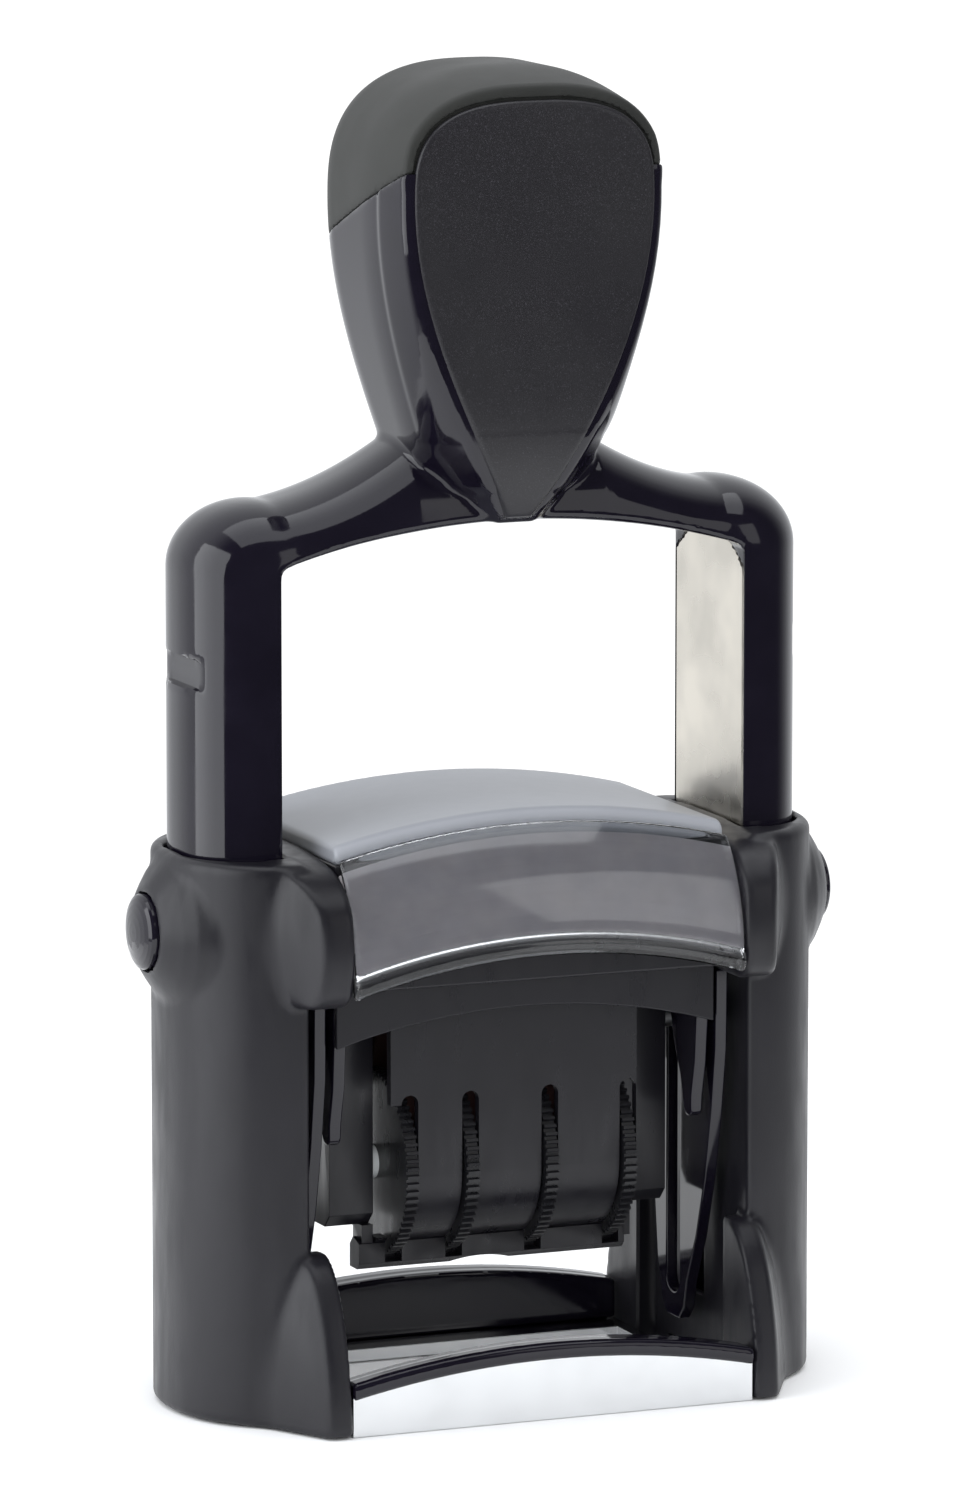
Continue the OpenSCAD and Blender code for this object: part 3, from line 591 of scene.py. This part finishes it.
def head_body(x, y, z):
    """Head: its outline grows from the badge's drop in front to a wide oval, and is rounded behind."""
    swell = np.sin(np.pi / 2 * np.clip((z - JAW_Z) / (BROW_Z - JAW_Z), 0, 1))
    width = JAW_X + (HEAD_X - JAW_X) * swell
    oval = squircle(x * HEAD_X / width, np.maximum(z - BROW_Z, 0), HEAD_X, TOP_Z - BROW_Z, 2.6)
    drop_edge = badge_gap(x, z) - RIM_T - 0.7 * np.clip((z - 142) / 6, 0, 1)
    depth = np.maximum(y - badge_y(z) - RIM_BACK, 0)
    spread = 0.75 + 1.5 * np.clip((z - 113) / 12, 0, 1) + 9 * np.clip((z - 123) / 16, 0, 1) ** 2
    flare = (drop_edge - 0.25 - spread * depth) / np.hypot(1, spread)
    back = np.sin(np.pi / 2 * np.clip((y + 17) / 12.5, 0, 1))
    side = drop_edge * (1 - back) + oval * back
    side = common(side, flare, 0.8)
    rear = 8.4 + 3.8 * swell
    head = common(side, y - rear, 8.2)
    return common(head, badge_y(z) + RIM_BACK - y, 0.28)


def bracket_half(z):
    """Half-width of the steel strip: full on the straps, less across the bar."""
    return BAR_Y + (STRAP_Y - BAR_Y) * np.clip((CORNER_Z + 1 - z) / 3, 0, 1)


def strap_bays(x, y, z):
    """Channel for the steel bracket in the legs and under the arch."""
    outer = common(np.abs(x) - LEG_IN - STRAP_T, z - BAR_Z - STRAP_T, 4.5)
    return common(common(outer, LEG_IN - 1 - np.abs(x), 0.1), np.abs(y) - bracket_half(z) - 0.12, 0.1)


def handle_body(x, y, z):
    body = join(shoulder(x, y, z), arm(x, y, z), 0.35)
    head = common(head_body(x, y, z), BADGE_LOW - 0.75 - z, 0.6)
    body = join(body, common(head, 107 - z, 1.0), 1.0)
    lower_edge = 0.35 + 0.85 * np.clip((z - CORNER_Z) / 3, 0, 1)
    body = cut(body, arch_underside(x, z), lower_edge)
    body = cut(body, strap_bays(x, y, z), 0.15)
    body = join(body, common(head, y + 9.4, 1.0), 0.8)
    well = np.hypot(np.abs(x) - 33.2, y) - 3.5
    body = cut(body, common(well, z - 78, 0.3), 0.3)
    notch = block(np.abs(x), y, z, (LEG_OUT - 1.3, -6, 85.2), (LEG_OUT + 2, 6, 88.6), 0.3)
    return common(cut(body, notch, 0.35), LEG_BOTTOM - z, 0.4)


def bracket(x, y, z):
    """Steel strip bent into a U: two straps inside the legs and a narrower bar under the neck."""
    reach = np.abs(x) - LEG_IN
    outer = common(reach - STRAP_T, z - BAR_Z - STRAP_T, 4.5)
    inner = common(reach, z - BAR_Z, 3.7)
    sheet = common(cut(outer, inner, 0.1), np.abs(y) - bracket_half(z), 0.25)
    return common(sheet, STRAP[0][2] - z, 0.25)


def above_seam(y, z):
    """Distance above the seam plane between shell and cap, which falls towards the back."""
    return (z - 138.4 + 0.4 * y) / math.hypot(1, 0.4)


def split_at(obj, name, height):
    """Cuts a mesh at a level: obj keeps what is below, and the returned object is what is above."""
    upper = obj.copy()
    upper.data = obj.data.copy()
    upper.name = name
    bpy.context.scene.collection.objects.link(upper)
    for piece, above in ((obj, False), (upper, True)):
        shape = bmesh.new()
        shape.from_mesh(piece.data)
        result = bmesh.ops.bisect_plane(
            shape, geom=shape.verts[:] + shape.edges[:] + shape.faces[:], plane_co=(0, 0, height * MM),
            plane_no=(0, 0, 1), clear_outer=not above, clear_inner=above)
        rim_edges = [item for item in result["geom_cut"] if isinstance(item, bmesh.types.BMEdge)]
        bmesh.ops.contextual_create(shape, geom=rim_edges)
        shape.to_mesh(piece.data)
        shape.free()
    return upper


def build_handle():
    def black_part(x, y, z):
        return common(handle_body(x, y, z), above_seam(y, z) + 0.04, 0.3)

    low = (-LEG_OUT - 1, -18, LEG_BOTTOM)
    high = (LEG_OUT + 1, 13, 148)
    detail = ((-17.6, 17.6, 0.26), (-18, -8, 0.26), (103, 150, 0.3))
    lower = mesh_object("handle_moulding", *surface(black_part, low, high, 0.6, detail))
    upper = split_at(lower, "head_moulding", NECK_Z)
    place(lower, ["handle_arch"], SKINS["gloss_black"])
    place(upper, ["head_shell"], SKINS["gloss_black"])

    def cap(x, y, z):
        groove = badge_gap(x, z) - 0.3 * np.clip((z - 143) / 4, 0, 1)
        body = cut(head_body(x, y, z), common(groove, y - badge_y(z) - 1.1, 0.1), 0.12)
        return common(body, 0.04 - above_seam(y, z), 0.3)

    skin("soft_cap", cap, (-18, -18, 132), (18, 13, TOP_Z), 0.4, ["head_cap"], SKINS["cap_soft"],
         (None, (-18, -12, 0.26), None))

    def badge(x, y, z):
        edge = badge_gap(x, z) + 0.1
        plate = common(edge, between(y, badge_y(z), badge_y(z) + 1), 0.5)
        tip = common(edge, between(y, badge_y(z), -LEG_Y - 0.1), 0.5)
        tip = common(tip, z - NECK_Z + 0.1, 0.3)
        return join(plate, tip, 0.1)

    skin("badge_plate", badge, BADGE[0], BADGE[1], 0.3, ["front_badge"], SKINS["badge_grey"],
         (None, (-18, -10, 0.2), None))
    skin("bent_strap", bracket, STRAP[0], STRAP[1], 0.6, ["steel_bracket"], SKINS["nickel"],
         ((-LEG_IN - 2, LEG_IN + 2, 0.4), None, (BAR_Z - 3, BAR_Z + 2, 0.3)))


# ---------- columns ----------


def side_facet(x, y, ridge_y, width):
    """Facet that slopes from the front ridge outwards and back, width wide where it meets the column."""
    depth = np.maximum(ridge_y - 13.5, 0.5)
    slope = width / depth
    back = np.clip(ridge_y - np.abs(y), 0, 1.2 * depth)
    return (x - RIDGE_X - slope * back) / np.hypot(1, slope)


def cheek(x, y, z):
    """Cheek beside the window: arc-shaped front facet, ridge, and a lens-shaped side facet."""
    arc = np.hypot(np.abs(y) - 3.3, z - PANE_Z) - (CHEEK_Y - 3.3)
    front = np.where(np.abs(y) > 3.3, arc, np.abs(y) - CHEEK_Y)
    front = common(front, between(z, CHEEK_LOW, CHEEK_TOP + 4), 2.6)
    slope = (z - CHEEK_TOP + 0.5 + 0.19 * (np.abs(y) - 12)) / 1.018
    front = common(common(front, slope, 4), z - CHEEK_TOP, 1.2)
    width = 4.4 * np.sqrt(np.clip(1 - ((z - 57.8) / 9.4) ** 2, 0, 1))
    facet = side_facet(x, y, 21.3, width)
    return common(common(front, facet, 0.7), CHEEK_IN - x, 0.8)


def foot(x, y, z):
    """Foot fin: quarter-oval in side view with a ridge, like the cheek above it."""
    fin = squircle(np.maximum(np.abs(y) - FOOT_Y, 0), z, FOOT_REACH, FOOT_H, 1.85)
    fin = common(fin, -z, 1.1)
    level = np.clip(z / FOOT_H, 0, 1)
    ridge_y = FOOT_Y + 8.3 * (1 - level ** 1.85) ** (1 / 1.85)
    facet = side_facet(x, y, ridge_y, 5 * np.sqrt(1 - level ** 2))
    fin = common(common(fin, facet, 0.6), FOOT_IN - x, 0.6)
    return common(fin, 12.5 - np.abs(y), 0.2)


def boss(x, y, z):
    """Swelling round the lock button."""
    reach = np.hypot(y, z - BUTTON_Z)
    profile = [(0, 30), (11.8, 34), (11, 36), (10.3, 37.4), (9.2, 38.9), (7.8, 40.2), (6.4, 41.2),
               (5.3, 41.9), (4.7, 42.1), (0, 42.1)]
    return outline(reach, np.broadcast_to(x, np.broadcast(x, reach).shape), profile)


def column(x, y, z):
    body = squircle(np.maximum(x - COLUMN_IN, 0), y, COLUMN_OUT - COLUMN_IN, COLUMN_Y, 2.15)
    body = common(common(body, COLUMN_IN - x, 1.0), between(z, 0, RIM_Z), 1.1)
    body = join(body, boss(x, y, z), 0.4)
    body = join(body, cheek(x, y, z), 0.8)
    body = join(body, foot(x, y, z), 0.8)
    pocket = squircle(np.maximum(x - LEG_IN + FIT, 0), y, LEG_OUT - LEG_IN + 2 * FIT, LEG_Y + FIT, 2.45)
    pocket = common(common(pocket, LEG_IN - FIT - x, 0.4), 4 - z, 0.6)
    body = cut(body, pocket, 0.45)
    pin_slot = common(common(between(x, 20, 30), np.abs(y) - 2.2, 0.2), between(z, 8.3, 46.6), 0.2)
    body = cut(body, pin_slot, 0.2)
    tab = common(common(x - 36.1, np.abs(y) - 8.1, 0.2), z - 1.5, 0.1)
    body = cut(body, tab, 0.2)
    bore = common(np.hypot(y, z - BUTTON_Z) - BUTTON_R - 0.15, BUTTON[0][0] - 1.75 - x, 0.1)
    body = cut(body, bore, 0.3)
    return common(body, -z, 0.5)


# ---------- bridge ----------


def arch_height(x, z):
    """Height above the bridge's arch axis, measured along its radius."""
    return np.hypot(x, z - BRIDGE_AXIS) + BRIDGE_AXIS


def top_cover(x, y, z):
    height = arch_height(x, z)
    shell = common(between(y, COVER[0][1] + 0.15, COVER[1][1]), height - BRIDGE_MID, 1.3)
    under_pane = np.hypot(y - PANE_Y, height - PANE_Z) - PANE_R + 1.5
    shell = np.where(y < -8, common(shell, np.where(height < 68.9, under_pane, -9), 0.3), shell)
    shell = common(shell, np.abs(x) - CHEEK_IN + 0.15, 0.5)
    return common(shell, 65.5 - z, 0.2)


def window(x, y, z):
    """Clear curved pane with a stiffening lip along its lower edge."""
    height = arch_height(x, z)
    radius = np.hypot(y - PANE_Y, height - PANE_Z)
    angle = np.arctan2(height - PANE_Z, PANE_Y - y)
    pane = common(between(radius, PANE_R - PANE_T, PANE_R), np.abs(x) - CHEEK_IN + 0.15, 0.45)
    low, high = math.radians(-5.4), math.radians(180 - 136.3)
    ends = between(angle, low, high) * PANE_R
    pane = common(pane, ends, 0.35)
    lip_y = PANE_Y - (PANE_R - 0.45) * math.cos(low + 0.07)
    lip_z = PANE_Z + (PANE_R - 0.45) * math.sin(low + 0.07)
    lip = np.hypot((y - lip_y) / 1.1, height - lip_z) - 0.95
    lip = common(lip, np.abs(x) - CHEEK_IN + 0.15, 0.5)
    return join(pane, lip, 0.6)


def sill(x, y, z):
    """Arched moulding behind the plate's flange, with a glossy bead over the flange's top edge."""
    crest = PLATE[1][2] - 2.8 * (x / SILL_X) ** 2
    wall = common(between(y, -20.7, -18.55), between(z, 1.55, crest + 1.2), 0.4)
    bead = common(between(y, -22.6, -20), between(z, crest - 0.7, crest + 1.3), 0.7)
    return common(join(wall, bead, 0.3), np.abs(x) - SILL_X, 0.4)


def ink_block(x, y, z):
    """Felt pad: softly rounded block whose faces crown a little."""
    low, high = PAD[0] + 0.05, PAD[1] - 0.05
    sag = 0.3 * np.clip((x / high[0]) ** 2 + (y / high[1]) ** 2, 0, 1)
    return block(x, y, z - sag, (low[0], low[1], low[2] + 0.35), (high[0], high[1], high[2] - 0.35), 1.2)


def build_springs():
    """Return springs, drawn as long as they are when the handle is all the way down."""
    turns, wire, radius, low, high = 20, 0.4, 2.7, 4.5, 45.4
    angle, around = np.linspace(0, 2 * np.pi * turns, 28 * turns + 1), np.arange(8) * np.pi / 4
    reach = radius + wire * np.cos(around)[None, :] + 0 * angle[:, None]
    level = low + (high - low) * angle[:, None] / angle[-1] + wire * np.sin(around)[None, :]
    middle = span("right_return_spring")
    points = np.stack([(middle[0][0] + middle[1][0]) / 2 + reach * np.cos(angle)[:, None],
                       reach * np.sin(angle)[:, None], level], axis=2).reshape(-1, 3)
    faces = [(8 * i + k, 8 * i + 8 + k, 8 * i + 8 + (k + 1) % 8, 8 * i + (k + 1) % 8)
             for i in range(len(angle) - 1) for k in range(8)]
    last = 8 * (len(angle) - 1)
    faces += [(0, 1, 2, 3), (0, 3, 4, 7), (7, 4, 5, 6)]
    faces += [(last + 3, last + 2, last + 1, last), (last + 7, last + 4, last + 3, last),
              (last + 6, last + 5, last + 4, last + 7)]
    mirror_pair("coil", points, np.array(faces), "return_spring", SKINS["spring_steel"])


def close_rail(cover):
    """Back wall of the carriage's bottom rail, behind the ends of the finger slots."""
    shape = bmesh.new()
    shape.from_mesh(cover.data)
    for x in RAIL_SLOTS:
        corners = [shape.verts.new((a * MM, b * MM, c * MM)) for a in (x - 1.2, x + 1.2)
                   for b in (-2.5, -1.7) for c in (15.9, 17.15)]
        for side in ((0, 1, 3, 2), (4, 6, 7, 5), (0, 4, 5, 1), (2, 3, 7, 6), (0, 2, 6, 4), (1, 5, 7, 3)):
            shape.faces.new([corners[k] for k in side])
    shape.to_mesh(cover.data)
    shape.free()
    dress(cover, SKINS["frame_black"])


def build_frame():
    points, faces = surface(column, (CHEEK_IN, -23, 0), (BUTTON[1][0], 23, CHEEK_TOP), 0.45)
    mirror_pair("column_housing", points, faces, "column", SKINS["column_black"])
    skin("arched_cover", top_cover, COVER[0], COVER[1], 0.6, ["top_cover"], SKINS["cover_grey"],
         (None, (-16, -12, 0.25), (65, 72, 0.25)))
    skin("curved_pane", window, (WINDOW[0][0], -22.2, 48.6), (WINDOW[1][0], -14, 70.2), 0.5,
         ["front_window"], SKINS["clear"], (None, (-22.5, -13, 0.2), (48, 71, 0.2)))
    points, faces = surface(sill, (-SILL_X, -22.6, 1.5), (SILL_X, -18.5, PLATE[1][2] + 1.3), 0.3)
    place(mesh_object("front_bead", points, faces), ["front_sill"], SKINS["gloss_black"])
    behind = points * [1, -1, 1]
    place(mesh_object("rear_bead", behind, faces[:, ::-1]), ["rear_sill"], SKINS["gloss_black"])
    for node, width in (("base_plate", 0.25),
                        ("left_guide_plate", 0.35), ("right_guide_plate", 0.35), ("left_ear", 0.35),
                        ("right_ear", 0.35), ("bridge_frame", 0.3), ("front_skirt", 0.2),
                        ("pad_cassette", 0.3), ("carriage_frame", 0.35)):
        soften(node, width)
    close_rail(soften("carriage_cover", 0.25))
    pad = skin("felt_pad", ink_block, PAD[0], PAD[1], 0.6, ["ink_pad"], SKINS["ink_felt"])


build_handle()
build_frame()
build_springs()

# ---------- studio ----------


def area_light(name, azimuth, elevation, distance, width, height, radiance, colour=(1, 1, 1)):
    """Softbox that faces the object. Azimuth 0 is the front, 90 the right-hand side."""
    a, e = math.radians(azimuth), math.radians(elevation)
    data = bpy.data.lights.new(name, "AREA")
    data.shape = "RECTANGLE"
    data.size, data.size_y = width, height
    data.energy = math.pi * radiance * width * height
    data.color = colour
    light = bpy.data.objects.new(name, data)
    bpy.context.scene.collection.objects.link(light)
    away = np.array([math.sin(a) * math.cos(e), -math.cos(a) * math.cos(e), math.sin(e)])
    light.location = away * distance + [0, 0, 0.08]
    light.rotation_euler = (math.pi / 2 - e, 0, a)
    light.visible_camera = False
    return light


def build_floor():
    mesh = bpy.data.meshes.new("studio_floor")
    shape = bmesh.new()
    bmesh.ops.create_circle(shape, cap_ends=True, segments=96, radius=0.24)
    shape.to_mesh(mesh)
    shape.free()
    floor = bpy.data.objects.new("studio_floor", mesh)
    floor.location.z = -0.05 * MM
    bpy.context.scene.collection.objects.link(floor)
    finish = Finish("floor_paper", 0.85)
    cloud = finish.noise(60)
    finish.colours(cloud, [(0.3, (0.87, 0.88, 0.895)), (0.7, (0.89, 0.9, 0.91))])
    finish.rough(cloud, 0.75, 0.9)
    floor.data.materials.append(finish.material)


def build_world():
    """Even white room, except that gloss sees white only behind the object and dim in front of it."""
    world = bpy.data.worlds.new("studio")
    bpy.context.scene.world = world
    world.use_nodes = True
    tree = world.node_tree
    tree.nodes.clear()
    direction = tree.nodes.new("ShaderNodeTexCoord").outputs["Generated"]
    split = tree.nodes.new("ShaderNodeSeparateXYZ")
    tree.links.new(direction, split.inputs[0])
    fade = tree.nodes.new("ShaderNodeMapRange")
    fade.interpolation_type = "SMOOTHSTEP"
    fade.inputs["From Min"].default_value = -0.3
    fade.inputs["From Max"].default_value = 0.5
    fade.inputs["To Min"].default_value = 0.06
    fade.inputs["To Max"].default_value = 1.0
    tree.links.new(split.outputs["Y"], fade.inputs["Value"])
    gloss, room = tree.nodes.new("ShaderNodeBackground"), tree.nodes.new("ShaderNodeBackground")
    tree.links.new(fade.outputs["Result"], gloss.inputs["Strength"])
    gloss.inputs["Color"].default_value = (0.95, 0.97, 1.0, 1)
    room.inputs["Color"].default_value = (1, 1, 1, 1)
    room.inputs["Strength"].default_value = 1.15
    path, mix = tree.nodes.new("ShaderNodeLightPath"), tree.nodes.new("ShaderNodeMixShader")
    tree.links.new(path.outputs["Is Glossy Ray"], mix.inputs["Fac"])
    tree.links.new(room.outputs[0], mix.inputs[1])
    tree.links.new(gloss.outputs[0], mix.inputs[2])
    output = tree.nodes.new("ShaderNodeOutputWorld")
    tree.links.new(mix.outputs[0], output.inputs["Surface"])


def build_camera():
    """Camera to the left of the front and a little above, in metres, aimed at target_x and target_z."""
    azimuth, elevation, distance = math.radians(22.5), math.radians(9.2), 1.108
    target_x, target_z = -0.0002, 0.0752
    data = bpy.data.cameras.new("camera")
    data.lens = 228
    data.sensor_width = 36
    data.clip_end = 20
    camera = bpy.data.objects.new("camera", data)
    bpy.context.scene.collection.objects.link(camera)
    camera.location = (target_x - distance * math.sin(azimuth) * math.cos(elevation),
                       -distance * math.cos(azimuth) * math.cos(elevation),
                       target_z + distance * math.sin(elevation))
    camera.rotation_euler = (math.pi / 2 - elevation, 0, -azimuth)
    bpy.context.scene.camera = camera


build_floor()
build_world()
build_camera()
area_light("left_softbox", -90, 14, 0.9, 1.0, 0.9, 2.5, (0.95, 0.97, 1.0))
area_light("right_fill", 32, 16, 1.1, 0.4, 0.6, 0.9)
area_light("front_fill", -18, 10, 1.0, 0.9, 0.4, 1.6).visible_glossy = False
area_light("top_softbox", 0, 84, 0.8, 0.9, 0.8, 1.5, (0.94, 0.96, 1.0))
bpy.context.scene.view_settings.view_transform = "Standard"
